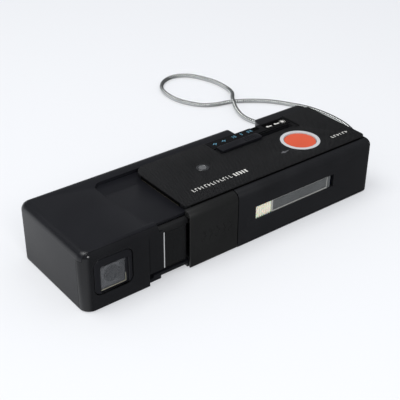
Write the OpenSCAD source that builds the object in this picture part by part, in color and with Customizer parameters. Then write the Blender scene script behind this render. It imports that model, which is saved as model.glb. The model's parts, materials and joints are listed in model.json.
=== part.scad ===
// Pocket cartridge camera with built-in flash, pulled open, on its metal wrist strap.
// All places are first written from the lower left front corner of the open body, then place()
// moves the whole camera so that the origin is the middle of its bottom face.
// X runs along the length, Y from the lens side to the eyepiece side, Z up.

/* [Body] */
// Length with the sliding housing pulled out
open_l = 170.5; // [170:0.5:174]
// Depth from the lens side to the eyepiece side
body_d = 55; // [55:0.5:57]
// Height of the housing
body_h = 29.2; // [29.1:0.1:30]
// Radius of the upright corners
corner_r = 5; // [4:0.5:5]
// Radius of the long top edges
edge_r = 3.6; // [3:0.1:4]
// Thickness of the moulded walls
wall = 2; // [1.8:0.1:2]

/* [Sliding housing] */
// Right edge of its front panel
panel_l = 40.5; // [40:0.1:41]
// Length of its rear leg, which carries the film door
leg_l = 118; // [116:0.5:118.5]
// Left end of the top recess that the top plate slides over
recess_x = 32.9; // [32.6:0.1:33]
// Depth of that recess
recess_h = 1.4; // [1.2:0.1:1.4]
// Travel from open to closed
slide_travel = 13; // [10:0.5:13]

/* [Finder window] */
// Middle of the window
finder_x = 14.6; // [14.4:0.1:14.8]
// Height of its middle
finder_z = 14.6; // [14.4:0.1:14.8]
// Clear width
finder_w = 13.9; // [13:0.1:14.2]
// Clear height
finder_h = 12.9; // [12:0.1:13]
// Diameter of the round finder lens
finder_lens_d = 8; // [7:0.1:8.6]

/* [Top plate] */
// Left edge of the textured top plate
plate_x = 55.4; // [55:0.1:56]
// Its front edge
plate_y = 4.8; // [4.6:0.1:4.9]
// Its top face
plate_top = 30; // [29.9:0.1:30.2]
// Its thickness
plate_t = 1.9; // [1.8:0.1:1.9]

/* [Release button] */
// Middle of the button along the length
button_x = 138.6; // [138:0.1:139]
// Middle of the button across the depth
button_y = 20.8; // [20.5:0.1:21]
// Diameter of the orange disc
button_d = 15.9; // [15.8:0.1:16.2]
// Outer diameter of the pale ring
ring_d = 20; // [20:0.1:20.4]

/* [Setting slider] */
// Left end of the knob in its flash position
knob_x = 100; // [99.5:0.1:100.5]
// Length of the knob
knob_l = 26; // [24:0.5:26]
// Travel of the knob, flash to bright sun
knob_travel = 20; // [10:1:20]

/* [Flash] */
// Left edge of the flash opening
flash_x = 92.3; // [92:0.1:93]
// Width of the flash opening
flash_w = 50.9; // [50:0.1:51]
// Height of the flash opening
flash_h = 6.8; // [6:0.1:7]
// Height of its middle
flash_z = 15; // [14.8:0.1:15.2]

/* [Lens] */
// Middle of the taking lens
lens_x = 50; // [49.8:0.1:50.2]
// Its height
lens_z = 14; // [13.8:0.1:14.2]

/* [Strap] */
// Diameter of the metal-sleeved strap cord
strap_d = 2.5; // [2.2:0.1:2.8]

/* [Hidden] */
$fn = 48;

eps = 0.01;
big = 400;
gap = 0.3;                                // working gap between sliding faces
chamfer = 0.5;                            // along the bottom edges
base_t = 1.6;                             // bottom covers
floor_z = base_t;                         // shells stand on the bottom covers
roof_z = body_h - recess_h;               // recess floor in the housing's top
roof_t = 1.4;                             // thin roof under the top plate
plate_z = plate_top - plate_t;            // underside of the top plate
plate_x1 = open_l - 1.7;                  // right edge of the top plate
plate_y1 = body_d - 8.4;                  // rear edge of the top plate
leg_y = plate_y1 + gap;                   // inner face of the rear leg
seam_y = 2.15;                            // housing shell starts behind the front panel
notch_x = panel_l - 2.5;                  // end of the rim in front of the recess
low_x = panel_l - 7.9;                    // the panel is cut away at the bottom from here
low_z = 6.6;                              // bottom of the raised end of the front panel
tongue_z = base_t + 0.15;                // bottom tongue that slides inside the body
tongue_t = 1.45;
trim_w = 0.5;                             // bright strip on the panel's right edge
cover_x = panel_l + 13.8;                 // left edge of the shutter cover
cover_x1 = cover_x + 27.1;
shell_x = cover_x1 + 0.6;                 // left edge of the right-hand shell
ridge_x = leg_l + 16.7;                   // left end of the rear ridge
ridge_r = 7.5;                            // round rear left corner of the ridge
deck_x = shell_x + 9.8;                   // left end of the deck under the top plate
deck_z = plate_z - 1.7;
chassis_x = 19.3;
chassis_x1 = 100.5;
chassis_y = 2.4;                          // front of the neck, just inside the front panel
chassis_y1 = plate_y1 - gap;
chassis_z = 3.4;
chassis_z1 = roof_z - roof_t - 0.2;
neck_r = 3;                               // round upper front edge of the neck
neck_x = 27;                              // smoked window of the neck
neck_l = 25.8;
neck_z = 5;
neck_h = 17.9;
chamber_y = 20.4;                         // rear wall of the shutter chamber starts here
film_y = 39;                              // film plane, 25 mm behind the lens
cart_x = 20.6;                            // film cartridge
cart_l = 78;
cart_y = 22.8;
cart_y1 = 44.5;
cart_z = 4.6;
cart_h = 20.4;
supply_l = 20.1;                          // supply chamber of the cartridge
takeup_x = 74.1;                          // take-up chamber of the cartridge
gear_x = 86.5;                            // wind gear, under the take-up spool
gear_y = 33.5;
gear_teeth = 14;
gear_m = 0.9;                             // module
gear_r = gear_m * gear_teeth / 2;
gear_pitch = PI * gear_m;
gear_z = 1.9;
gear_t = 1.3;
blade_px = 62;                            // pivot of the shutter blade
blade_pz = 8;
knob_y = 34.4;
knob_w = 5;
channel_x = knob_x - 2;
channel_l = 52;
channel_y = 32.2;
channel_z = 29;
slot_y = 35.9;
slot_w = 3.2;
stem_x = knob_x + 3;
battery_d = 14.5;
battery_l = 50.5;
battery_x = 110.5;
battery_z = 10.4;
battery_y1 = 21.6;
battery_y2 = 36.4;
door_x = 20;                              // film door opening in the rear leg
door_l = 84;
door_z = 4.6;
door_h = 20.6;
hinge_y = body_d - 1.5;
hinge_z = door_z + 1.5;
pocket_y = 36;                            // strap pocket in the right end
pin_x = open_l - 1.3;
pin_y = 40;
ring_z = 2.8;
ring_r = 3.1;
ferrule_x = open_l + 2.5;
ferrule_l = 8;

// The strap's route about the object's origin, from the ferrule round its loop and back to it.
strap_route = [
    [95.75, 13.9, 2.8], [100, 15, 2.2], [104, 19.5, 1.4], [104, 26.5, 1.3], [99, 38.5, 1.3],
    [93, 51.5, 1.3], [88, 64.5, 1.3], [86.5, 74.5, 1.6], [89, 84.5, 2.6], [94, 94, 4],
    [101, 103, 2.9], [105, 113.5, 1.6], [105, 127.5, 1.3], [99, 142.5, 1.3], [90, 148.5, 1.3],
    [80, 146.5, 1.3], [72, 138.5, 1.3], [69, 127.5, 1.3], [70, 115.5, 1.3], [76, 104, 1.3],
    [84, 98.5, 1.3], [95, 95.5, 1.3], [106, 89, 1.3], [115, 80.5, 1.3], [122, 69.5, 1.3],
    [127, 58.5, 1.3], [129, 44.5, 1.3], [128, 31, 1.3], [124, 20.5, 1.3], [116, 13.5, 1.3],
    [106, 11, 1.5], [100, 11, 2.2], [95.75, 11.1, 2.8]
];
strap_rings = 78;
strap_sides = 8;

module place() {
    translate([-open_l / 2, -body_d / 2, 0]) children();
}

// Rounded rectangle from the origin.
module rrect(w, h, r) {
    translate([r, 0]) square([w - 2 * r, h]);
    translate([0, r]) square([w, h - 2 * r]);
    for (x = [r, w - r], y = [r, h - r]) translate([x, y]) circle(r);
}

// A box given by its two corners.
module span(a, b) {
    translate(a) cube(b - a);
}

// An upright plate in the XZ plane, from y0 towards the back.
module front_plate(y0, t) {
    translate([0, y0 + t, 0]) rotate([90, 0, 0]) linear_extrude(t) children();
}

// A rod along Y.
module rod_y(x, y0, z, r, l) {
    translate([x, y0, z]) rotate([-90, 0, 0]) cylinder(r = r, h = l);
}

// A rod along X.
module rod_x(x0, y, z, r, l) {
    translate([x0, y, z]) rotate([0, 90, 0]) cylinder(r = r, h = l);
}

// The outer form of the whole camera: rounded corners in plan and rounded top edges.
module envelope() {
    r = corner_r;
    translate([r, 0, 0]) rotate([90, 0, 90]) linear_extrude(open_l - 2 * r) top_profile(body_d);
    translate([0, body_d - r, 0]) rotate([90, 0, 0]) linear_extrude(body_d - 2 * r) top_profile(open_l);
    for (c = [[r, r, 180], [open_l - r, r, 270], [open_l - r, body_d - r, 0], [r, body_d - r, 90]])
        translate([c[0], c[1], 0]) rotate([0, 0, c[2]]) rotate_extrude(angle = 90) corner_profile();
}

// Half cross-section of an upright corner.
module corner_profile() {
    polygon([
        [0, 0], [corner_r - chamfer, 0], [corner_r, chamfer], [corner_r, body_h - edge_r],
        [0, body_h - edge_r]
    ]);
    translate([0, body_h - edge_r]) square([corner_r - edge_r, edge_r]);
    translate([corner_r - edge_r, body_h - edge_r]) intersection() {
        circle(edge_r);
        square([edge_r + 1, edge_r + 1]);
    }
}

// A cross-section with two round top corners and a small chamfer along the bottom.
module top_profile(w) {
    polygon([
        [chamfer, 0], [w - chamfer, 0], [w, chamfer], [w, body_h - edge_r],
        [0, body_h - edge_r], [0, chamfer]
    ]);
    translate([edge_r, body_h - edge_r]) square([w - 2 * edge_r, edge_r]);
    for (x = [edge_r, w - edge_r]) translate([x, body_h - edge_r]) circle(edge_r);
}

// Plan of the housing's rear leg, with its round right end.
module leg_plan(x0) {
    r = 3.5;
    translate([x0, leg_y]) square([leg_l - x0 - r, body_d - leg_y]);
    translate([leg_l - r - eps, leg_y]) square([r + eps, body_d - leg_y - r]);
    translate([leg_l - r, body_d - r]) circle(r);
}

// ---------------------------------------------------------------- sliding housing

module housing_shell() {
    color("#23242a") place() difference() {
        union() {
            intersection() {
                envelope();
                union() {
                    span([0, seam_y, floor_z], [panel_l, body_d, body_h]);
                    translate([0, 0, floor_z]) linear_extrude(body_h) leg_plan(0);
                }
            }
            span([recess_x - 4, plate_y - 0.2, roof_z - roof_t], [76, plate_y1, roof_z]);
        }
        // inner space for the chassis, closed by the roof
        span([wall, -1, -1], [recess_x - 3, leg_y, body_h - wall]);
        span([wall, -1, -1], [big, leg_y, roof_z - roof_t]);
        // the front panel fills this corner of the end wall
        span([-1, -1, -1], [wall + eps, 5.4, body_h - edge_r]);
        // recess that the top plate slides over, open to the right
        recess_plan();
        span([notch_x, -1, 0], [big, plate_y - 0.2, big]);
        // slightly lower strip along the back of the recess
        intersection() {
            translate([0, 0, -0.2]) recess_plan();
            span([recess_x + 0.8, 36.6, 0], [big, big, big]);
        }
        // small release slot in the left end
        span([-1, 50.8, 2.9], [0.8, 51.7, 5.1]);
        door_opening();
        eyepiece_hole();
        leg_pockets();
        // screw holes
        for (p = housing_screw_at) translate([p[0], p[1], 0]) cylinder(r = 0.9, h = 9);
        // hinge pin bores on both sides of the door opening
        rod_x(door_x - 2, hinge_y, hinge_z, 0.6, door_l + 4);
    }
    color("#23242a") place() housing_posts();
}

housing_screw_at = [[4.1, 8.5], [4.1, 43.5], [112, 51]];

// Posts beside the end wall that take the base's screws.
module housing_posts() {
    for (i = [0, 1]) difference() {
        intersection() {
            envelope();
            translate([housing_screw_at[i][0] - 0.1, housing_screw_at[i][1], floor_z])
                cylinder(r = 2.1, h = body_h - wall - floor_z + eps);
        }
        translate([housing_screw_at[i][0], housing_screw_at[i][1], 0]) cylinder(r = 0.9, h = 9);
        span([-1, 0, 0], [wall, body_d, body_h]);
    }
}

// The recess, with a round rear left corner.
module recess_plan() {
    r = 5.5;
    translate([0, 0, roof_z]) linear_extrude(big) {
        translate([recess_x, plate_y - 0.2]) square([big, plate_y1 - plate_y - r + 0.2 + gap]);
        translate([recess_x + r, plate_y]) square([big, plate_y1 - plate_y + gap]);
        translate([recess_x + r, plate_y1 - r + gap]) circle(r);
    }
}

module door_opening() {
    span([door_x, leg_y - 1, door_z], [door_x + door_l, body_d + 1, door_z + door_h]);
}

module eyepiece_hole() {
    span([finder_x - 4.5, leg_y - 1, finder_z - 4.5], [finder_x + 4.5, body_d - 0.6, finder_z + 4.5]);
    front_plate(body_d - 1, 2) translate([finder_x - 3.5, finder_z - 3.5]) rrect(7, 7, 1);
}

// Hollows that lighten the solid end of the leg.
module leg_pockets() {
    span([door_x + door_l + 2, leg_y - 1, 9], [leg_l - 3, body_d - wall, body_h - wall - 1]);
    span([3, leg_y - 1, 20], [door_x - 2, body_d - wall, body_h - wall - 1]);
}

module housing_base() {
    color("#1e1f24") place() difference() {
        union() {
            intersection() {
                envelope();
                union() {
                    span([0, seam_y + 0.25, 0], [panel_l - 0.5, body_d, base_t]);
                    linear_extrude(base_t) leg_plan(0);
                }
            }
            // tongue that stays engaged inside the right-hand body
            span([36, wall + 0.2, tongue_z], [72, 20, tongue_z + tongue_t]);
            span([36, 19, tongue_z], [60, plate_y1 - 0.6, tongue_z + tongue_t]);
            span([36, seam_y + 0.25, base_t - eps], [panel_l - 0.5, plate_y1 - 0.6, tongue_z + eps]);
        }
        for (p = housing_screw_at) translate([p[0], p[1], -1]) {
            cylinder(r = 1, h = 4);
            cylinder(r = 2.05, h = 1.9);
        }
        // clearance for the corner of the front panel
        span([-1, -1, -1], [wall + eps, 5.4, big]);
    }
}

module screw(head_r, shank_r, l) {
    difference() {
        union() {
            translate([0, 0, 0.1]) cylinder(r = head_r, h = 0.8);
            translate([0, 0, 0.8]) cylinder(r = shank_r, h = l);
        }
        for (a = [0, 90]) rotate(a) translate([-head_r * 0.7, -0.22, 0]) cube([head_r * 1.4, 0.44, 0.5]);
    }
}

module housing_screws() {
    color("#9a9da3") place() for (p = housing_screw_at) translate([p[0], p[1], 0]) screw(1.9, 0.85, 6.5);
}

module front_panel() {
    color("#17181c") place() difference() {
        intersection() {
            envelope();
            union() {
                span([0, 0, 0.3], [low_x, wall, body_h]);
                span([0, 0, low_z], [panel_l, wall, body_h]);
                span([0, 0, 0.3], [wall + 2, 5.2, body_h - edge_r - 0.1]);
            }
        }
        // inside of the rounded corner
        translate([wall, wall, -1]) linear_extrude(body_h + 2) difference() {
            square([10, 10]);
            difference() {
                square([2, 2]);
                translate([2, 2]) circle(2);
            }
        }
        span([wall + 2, wall, -1], [10, 10, big]);
        span([wall, wall, -1], [10, 10, base_t + 0.05]);
        // recess for the bezel, then the pocket for glass and finder plate
        bezel_recess(-1, 2.2, 0);
        front_plate(1.2 - eps, 3) translate([finder_x - 8.1, finder_z - 7.2]) square([16.2, 14.8]);
        // top rim is notched away beside the neck
        span([notch_x, -1, body_h - edge_r], [big, wall + 1, big]);
        // seam line and groove for the bright trim
        span([low_x - 0.15, -1, -1], [low_x + 0.15, 0.25, body_h - edge_r]);
        span([panel_l - trim_w, -1, low_z + 0.3], [panel_l + 1, 0.5, 25.2]);
    }
}

module bezel_recess(y0, t, inset) {
    x0 = finder_x - 9.7 + inset;
    z0 = finder_z - 7.6 + inset;
    front_plate(y0, t) translate([x0, z0]) rrect(19.4 - 2 * inset, 17.9 - 2 * inset, 3.6 - inset);
}

module edge_trim() {
    color("#e8eaee") place() span([panel_l - trim_w, 0, low_z + 0.3], [panel_l, 0.5, 25.2]);
}

module finder_bezel() {
    color("#2b2c31") place() difference() {
        bezel_recess(0.2, 1, 0.45);
        front_plate(-1, 4)
            translate([finder_x + 0.6 - finder_w / 2, finder_z - 0.45 - finder_h / 2])
                rrect(finder_w, finder_h, 0.8);
    }
}

module finder_glass() {
    color([0.75, 0.8, 0.85, 0.4]) place()
        front_plate(1.2, 0.5) translate([finder_x - 8, finder_z - 7.1]) rrect(16, 14.6, 0.5);
}

module finder_plate() {
    color("#8d9099") place() difference() {
        front_plate(1.7, 0.6) translate([finder_x - 8, finder_z - 7.1]) rrect(16, 14.6, 0.5);
        rod_y(finder_x, 0, finder_z, finder_lens_d / 2, 5);
    }
}

module finder_lens() {
    color("#4a4d55") place() rod_y(finder_x, 1.75, finder_z, finder_lens_d / 2, 0.55);
}

module finder_eyepiece() {
    color([0.75, 0.8, 0.85, 0.4]) place()
        span([finder_x - 4.5, body_d - 3, finder_z - 4.5], [finder_x + 4.5, body_d - 1, finder_z + 4.5]);
}

// One tooth of the wind train, pointing along +Y, its pitch line on the X axis.
module tooth(root, tip) {
    polygon([[-0.75, -root], [-0.28, tip], [0.28, tip], [0.75, -root]]);
}

module wind_rack() {
    first = gear_x + gear_pitch / 2;
    color("#c9a24a") place() {
        span([60, 24, gear_z], [92, gear_y - gear_r - 0.9, gear_z + gear_t]);
        for (i = [-6 : 1]) translate([first + i * gear_pitch, gear_y - gear_r, gear_z])
            linear_extrude(gear_t) tooth(1, 0.65);
    }
}

// ---------------------------------------------------------------- film door, on the leg

module film_door() {
    y0 = body_d - wall;
    color("#23242a") place() difference() {
        union() {
            span([door_x + gap, y0, hinge_z], [door_x + door_l - gap, body_d, door_z + door_h - gap]);
            rod_x(door_x + gap, hinge_y, hinge_z, 1.45, door_l - 2 * gap);
            // ribs that hold the cartridge in its bay
            for (x = [30, 60, 90]) span([x, leg_y + 0.3, 9], [x + 1.6, y0 + eps, 21]);
        }
        rod_x(door_x - 5, hinge_y, hinge_z, 0.65, door_l + 10);
        // opening of the film window and a thumb hollow at the top edge
        span([76, y0 - 1, 11.5], [86, body_d + 1, 18.5]);
        translate([52, body_d + 3, door_z + door_h - 1]) sphere(r = 4.2);
    }
}

module film_window() {
    color([0.8, 0.85, 0.9, 0.45]) place() span([76, body_d - 1.4, 11.5], [86, body_d - 0.4, 18.5]);
}

module cartridge_spring() {
    y0 = body_d - wall - 0.3;
    color("#b9bcc2") place() {
        span([40, y0, 12], [54, body_d - wall, 17]);
        translate([47, y0 + 10.5, 12]) linear_extrude(5) intersection() {
            difference() {
                circle(12.3);
                circle(12);
            }
            translate([-6.5, -13]) square([13, 2.6]);
        }
    }
}

module door_hinge_pin() {
    color("#b9bcc2") place() rod_x(door_x - 2, hinge_y, hinge_z, 0.6, door_l + 4);
}

// ---------------------------------------------------------------- chassis and optics

module chassis() {
    color("#2e3036") place() difference() {
        union() {
            span([chassis_x, chassis_y, chassis_z], [cover_x1 + 0.3, chassis_y1, chassis_z1 - neck_r]);
            span([chassis_x, chassis_y + neck_r, chassis_z], [cover_x1 + 0.3, chassis_y1, chassis_z1]);
            rod_x(chassis_x, chassis_y + neck_r, chassis_z1 - neck_r, neck_r, cover_x1 + 0.3 - chassis_x);
            span([cover_x1, chamber_y + 0.2, chassis_z], [chassis_x1, chassis_y1, chassis_z1]);
            // rim that carries the shutter cover
            span([cover_x + 1, wall, chassis_z], [cover_x1 - 1.2, chassis_y + eps, chassis_z1 - neck_r]);
            // feet on the bottom cover and pads under the deck
            for (y = [[20.8, 23.4], [36, 45]])
                span([97, y[0], base_t], [chassis_x1 - 0.2, y[1], chassis_z + eps]);
            span([deck_x + 2, 24, chassis_z1 - eps], [chassis_x1 - 1, 42, deck_z]);
        }
        // shutter chamber, open to the front behind the shutter cover
        span([chassis_x + 1, 4.6, chassis_z + 1], [cover_x1 - 1.2, chamber_y, chassis_z1 + 1]);
        span([cover_x + 1, -1, chassis_z + 1.6], [cover_x1 - 1.2, 6, chassis_z1 - 1]);
        // film bay: two chambers joined by the bridge slot, open to the back
        span([cart_x - 0.3, cart_y - 0.3, cart_z],
            [cart_x + supply_l + 0.3, big, cart_z + cart_h + 0.2]);
        span([takeup_x - 0.3, cart_y - 0.3, cart_z],
            [cart_x + cart_l + 0.3, big, cart_z + cart_h + 0.2]);
        span([cart_x, film_y, cart_z], [takeup_x + 5, big, cart_z + cart_h + 0.2]);
        // stepped light box from the shutter to the film gate
        lens_box(4.5, 4, 18, 28);
        lens_box(6.5, 5.2, 27, 34);
        lens_box(8.5, 6.5, 33, film_y + 1);
        // lens opening, with the seat of the smoked window in front of it
        span([lens_x - 2.6, 0, lens_z - 2.6], [lens_x + 2.6, 6, lens_z + 2.6]);
        span([neck_x - 0.1, 0, neck_z - 0.1],
            [neck_x + neck_l + 0.1, chassis_y + 0.6, neck_z + neck_h + 0.1]);
        // shadow gaps above the bottom lip and beside the shutter cover
        span([chassis_x - 1, 0, 0], [cover_x + 1, 3.5, chassis_z + 1.4]);
        span([53.6, 0, 0], [cover_x + 1, 4.2, chassis_z1 - neck_r]);
        // bore of the wind shaft and the slot of the aperture bar
        translate([gear_x, gear_y, 0]) cylinder(r = 2.05, h = 9);
        span([cover_x1 - 2, 14.1, chassis_z1 - 3.2], [cover_x1 + 1, 15.7, chassis_z1 + 1]);
    }
}

module neck_window() {
    color("#202126") place()
        span([neck_x, chassis_y, neck_z], [neck_x + neck_l, chassis_y + 0.6, neck_z + neck_h]);
}

module lens_box(hw, hh, y0, y1) {
    span([lens_x - hw, y0, lens_z - hh], [lens_x + hw, y1, lens_z + hh]);
}

module lens_barrel() {
    color("#15161a") place() difference() {
        union() {
            rod_y(lens_x, 7, lens_z, 4.2, 5.2);
            rod_y(lens_x, 11, lens_z, 5.4, 1.2);
        }
        rod_y(lens_x, 6, lens_z, 2.9, 8);
    }
}

module taking_lens() {
    color([0.6, 0.65, 0.75, 0.5]) place() intersection() {
        rod_y(lens_x, 7, lens_z, 2.9, 4);
        translate([lens_x, 16.2, lens_z]) sphere(r = 8);
    }
}

module shutter_plate() {
    color("#9fa2a8") place() difference() {
        union() {
            span([44.4, 12.2, chassis_z + 1], [cover_x1 - 1.2, 13.2, 23]);
            rod_y(blade_px, 13, blade_pz, 1, 4);
        }
        rod_y(lens_x, 11, lens_z, 2.2, 4);
    }
}

module shutter_blade() {
    color("#3b3d42") place() difference() {
        union() {
            rod_y(lens_x, 15.6, lens_z, 4, 0.5);
            rod_y(blade_px, 15.6, blade_pz, 2.2, 0.5);
            front_plate(15.6, 0.5) polygon([
                [lens_x + 1, lens_z + 3.4], [lens_x - 1.5, lens_z - 3.2],
                [blade_px - 1, blade_pz - 1.8], [blade_px + 1, blade_pz + 1.8]
            ]);
        }
        rod_y(blade_px, 15, blade_pz, 1.05, 2);
    }
}

module film_cartridge() {
    z1 = cart_z + cart_h;
    color("#3a3a3c") place() difference() {
        union() {
            span([cart_x, cart_y, cart_z], [cart_x + supply_l, cart_y1, z1]);
            span([takeup_x, cart_y, cart_z], [cart_x + cart_l, cart_y1, z1]);
            span([cart_x, film_y + 0.2, cart_z], [cart_x + cart_l, cart_y1, z1]);
        }
        translate([gear_x, gear_y, cart_z + 0.8]) cylinder(r = 9.6, h = cart_h - 1.6);
        translate([gear_x, gear_y, 0]) cylinder(r = 2.6, h = 12);
        translate([cart_x + supply_l / 2, gear_y, cart_z + 0.8]) cylinder(r = 8.6, h = cart_h - 1.6);
    }
}

module takeup_spool() {
    color("#77716a") place() translate([gear_x, gear_y, cart_z + 1.2]) difference() {
        union() {
            cylinder(r = 5.5, h = cart_h - 2.4);
            for (z = [0, cart_h - 3.2]) translate([0, 0, z]) cylinder(r = 9, h = 0.8);
        }
        translate([0, 0, -1]) cylinder(r = 2, h = 3.5);
    }
}

module wind_gear() {
    color("#c9a24a") place() translate([gear_x, gear_y, gear_z]) {
        linear_extrude(gear_t) {
            circle(gear_r - 0.9);
            for (i = [0 : gear_teeth - 1]) rotate(i * 360 / gear_teeth - 180)
                translate([0, gear_r]) tooth(1, 0.65);
        }
        translate([0, 0, gear_t - eps]) cylinder(r = 2, h = 4.8);
    }
}

// ---------------------------------------------------------------- right-hand body

module shutter_cover() {
    color("#23242a") place() difference() {
        intersection() {
            envelope();
            span([cover_x, 0, 0.6], [cover_x1, plate_y - 0.5, body_h]);
        }
        // thin left lip
        span([0, 0.9, -1], [cover_x + 1, big, roof_z - roof_t - 0.2]);
        span([0, wall, -1], [big, big, roof_z - roof_t - 0.2]);
        // grip chevrons
        for (i = [0 : 4]) translate([cover_x + 6.7 + i * 3.7, 0, 12.2]) rotate([90, 0, 0])
            translate([0, 0, -0.25]) linear_extrude(1)
                polygon([[0, 0], [1.6, 2.5], [0, 5], [0.8, 5], [2.4, 2.5], [0.8, 0]]);
    }
}

module body_shell() {
    color("#23242a") place() difference() {
        intersection() {
            envelope();
            union() {
                span([shell_x, 0, floor_z], [open_l, plate_y1, body_h]);
                translate([0, 0, floor_z]) linear_extrude(body_h) ridge_plan(ridge_x, ridge_r);
            }
        }
        // room inside, under the deck
        span([deck_x, wall, -1], [open_l - wall, plate_y1 - wall, deck_z]);
        span([shell_x - 1, wall, -1], [deck_x + eps, plate_y1 - wall, deck_z]);
        span([0, wall + 1.5, -1], [chassis_x1 + 1, big, deck_z]);
        span([ridge_x + 6, plate_y1 - 4, -1], [open_l - wall, body_d - wall, body_h - wall]);
        // the thin roof of the housing slides in here
        span([0, plate_y - 0.5, deck_z - 1], [deck_x, big, big]);
        // seat of the top plate
        span([0, plate_y - 0.5, plate_z], [plate_x1 + 0.1, plate_y1 + eps, big]);
        // flash opening
        span([flash_x, -1, flash_z - flash_h / 2], [flash_x + flash_w, wall + 1, flash_z + flash_h / 2]);
        // guide of the button stem, slot of the slider
        translate([button_x, button_y, 0]) cylinder(r = 2.55, h = 40);
        span([stem_x - 0.4, slot_y, deck_z - 1], [knob_x + 48, slot_y + slot_w, big]);
        strap_pocket();
        for (p = body_screw_at) translate([p[0], p[1], 0]) cylinder(r = 0.9, h = 9);
    }
    color("#23242a") place() {
        body_posts();
        pocket_box();
    }
}

module ridge_plan(x0, r) {
    translate([x0 + r, plate_y1 - 1]) square([open_l - x0 - r, body_d - plate_y1 + 1]);
    translate([x0, plate_y1 - 1]) square([r + eps, body_d - plate_y1 + 1 - r]);
    translate([x0 + r, body_d - r]) circle(r);
}

body_screw_at = [[88.5, 3.9], [104.2, 41.6], [165.4, 5.4], [152, 51.3]];

module body_posts() {
    for (p = body_screw_at) difference() {
        translate([p[0], p[1], floor_z]) cylinder(r = 2.3, h = (p[0] < deck_x ? 20 : deck_z - floor_z));
        translate([p[0], p[1], 0]) cylinder(r = 0.9, h = 9);
        // each post runs a little way into the wall beside it
        span([0, -1, 0], [big, wall - 0.3, big]);
        span([0, body_d - wall + 0.3, 0], [big, big, big]);
    }
}

module strap_pocket() {
    span([open_l - 4.2, pocket_y, floor_z + 0.2], [open_l + 1, pocket_y + 8, 10]);
    translate([pin_x, pin_y, 0]) cylinder(r = 0.8, h = 11.5);
}

// Inner walls round the strap pocket.
module pocket_box() {
    difference() {
        span([open_l - 5.4, pocket_y - 1.2, floor_z], [open_l - wall, pocket_y + 8.6, 11.2]);
        strap_pocket();
    }
}

module body_base() {
    color("#1e1f24") place() difference() {
        intersection() {
            envelope();
            linear_extrude(base_t) {
                translate([cover_x, 2.3]) square([shell_x - cover_x + 1, plate_y1 - 2.3]);
                translate([shell_x, 0]) square([open_l - shell_x, plate_y1]);
                ridge_plan(ridge_x, ridge_r);
            }
        }
        battery_door_plan(0.2);
        for (p = body_screw_at) translate([p[0], p[1], -1]) {
            cylinder(r = 1, h = 4);
            cylinder(r = 2.05, h = 1.9);
        }
    }
}

module battery_door_plan(grow) {
    translate([0, 0, -1]) linear_extrude(4)
        translate([battery_x - 3 - grow, -10]) square([53.8 + 2 * grow, 10 + 43.8 + grow]);
}

module battery_door() {
    color("#1e1f24") place() difference() {
        intersection() {
            envelope();
            battery_door_plan(0);
            cube([big, big, base_t - 0.1]);
        }
        // grip grooves on the outside
        for (i = [0 : 4]) span([128, 8 + 2.4 * i, -1], [144, 9.2 + 2.4 * i, 0.5]);
    }
}

module screw_group(points) {
    for (p = points) translate([p[0], p[1], 0]) screw(1.9, 0.85, 6.5);
}

module body_screws() {
    color("#9a9da3") place() screw_group(body_screw_at);
}

module plate_plan() {
    rb = 7;
    rf = 2.2;
    rr = 3;
    w = plate_x1 - plate_x;
    h = plate_y1 - plate_y;
    translate([plate_x, plate_y]) {
        translate([rb, rf]) square([w - rb - 1, h - rf - rr]);
        translate([rb, h / 2]) square([w - rb - 1, h / 2]);
        translate([rf, 0]) square([w - rf - rr, h - rb]);
        translate([0, rf]) square([w / 2, h - rb - rf]);
        translate([w / 2, rr]) square([w / 2, h - rr - 1]);
        translate([w - 1, h - 1]) circle(1);
        translate([rf, rf]) circle(rf);
        translate([rb, h - rb]) circle(rb);
        translate([w - rr, rr]) circle(rr);
    }
}

module top_plate() {
    color("#2a2b2f") place() difference() {
        translate([0, 0, plate_z]) linear_extrude(plate_t) plate_plan();
        translate([button_x, button_y, 0]) cylinder(r = ring_d / 2, h = 50);
        translate([82.6, 27.9, channel_z - 0.4]) cylinder(r = 3.1, h = 10);
        // sunk channel of the slider and its scale
        translate([channel_x, channel_y, channel_z]) linear_extrude(5) rrect(channel_l, 30, 1.5);
        span([stem_x - 0.4, slot_y, 0], [knob_x + 48, slot_y + slot_w, 50]);
    }
}

module scale_plate() {
    y0 = slot_y + slot_w + 0.5;
    color("#26272b") place() difference() {
        span([channel_x + 0.6, y0, channel_z], [channel_x + channel_l - 1, plate_y1 - 0.2, channel_z + 0.5]);
        // sunk fields beside and behind the knob
        span([127.4, 42.6, channel_z + 0.2], [131.2, 50, 40]);
        span([134, 40.6, channel_z + 0.2], [149, 45.4, 40]);
    }
}

module mode_slider() {
    z0 = channel_z + 0.1;
    color("#2b2c31") place() {
        difference() {
            translate([knob_x, knob_y, z0]) linear_extrude(1.3) rrect(knob_l, knob_w, 1.4);
            for (i = [0 : 4]) span([knob_x + 16 + 1.4 * i, knob_y + 0.8, z0 + 1],
                [knob_x + 16.6 + 1.4 * i, knob_y + knob_w - 0.8, 50]);
        }
        span([stem_x, slot_y + 0.3, 25], [stem_x + 4, slot_y + slot_w - 0.3, z0 + eps]);
    }
}

module aperture_bar() {
    zt = 25;
    color("#8f9298") place() difference() {
        union() {
            span([26, 14.6, 9.6], [55, 15.1, 19.5]);
            span([47, 14.6, 19], [55, 15.1, zt]);
            span([47, 14.6, zt - 1.4], [stem_x + 4, 15.1, zt]);
            span([stem_x, 14.6, zt - 1.4], [stem_x + 4, slot_y + slot_w - 0.3, zt]);
        }
        rod_y(lens_x, 14, lens_z, 1.7, 2);
        rod_y(lens_x - knob_travel / 2, 14, lens_z, 1.1, 2);
        rod_y(lens_x - knob_travel, 14, lens_z, 0.7, 2);
    }
}

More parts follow.
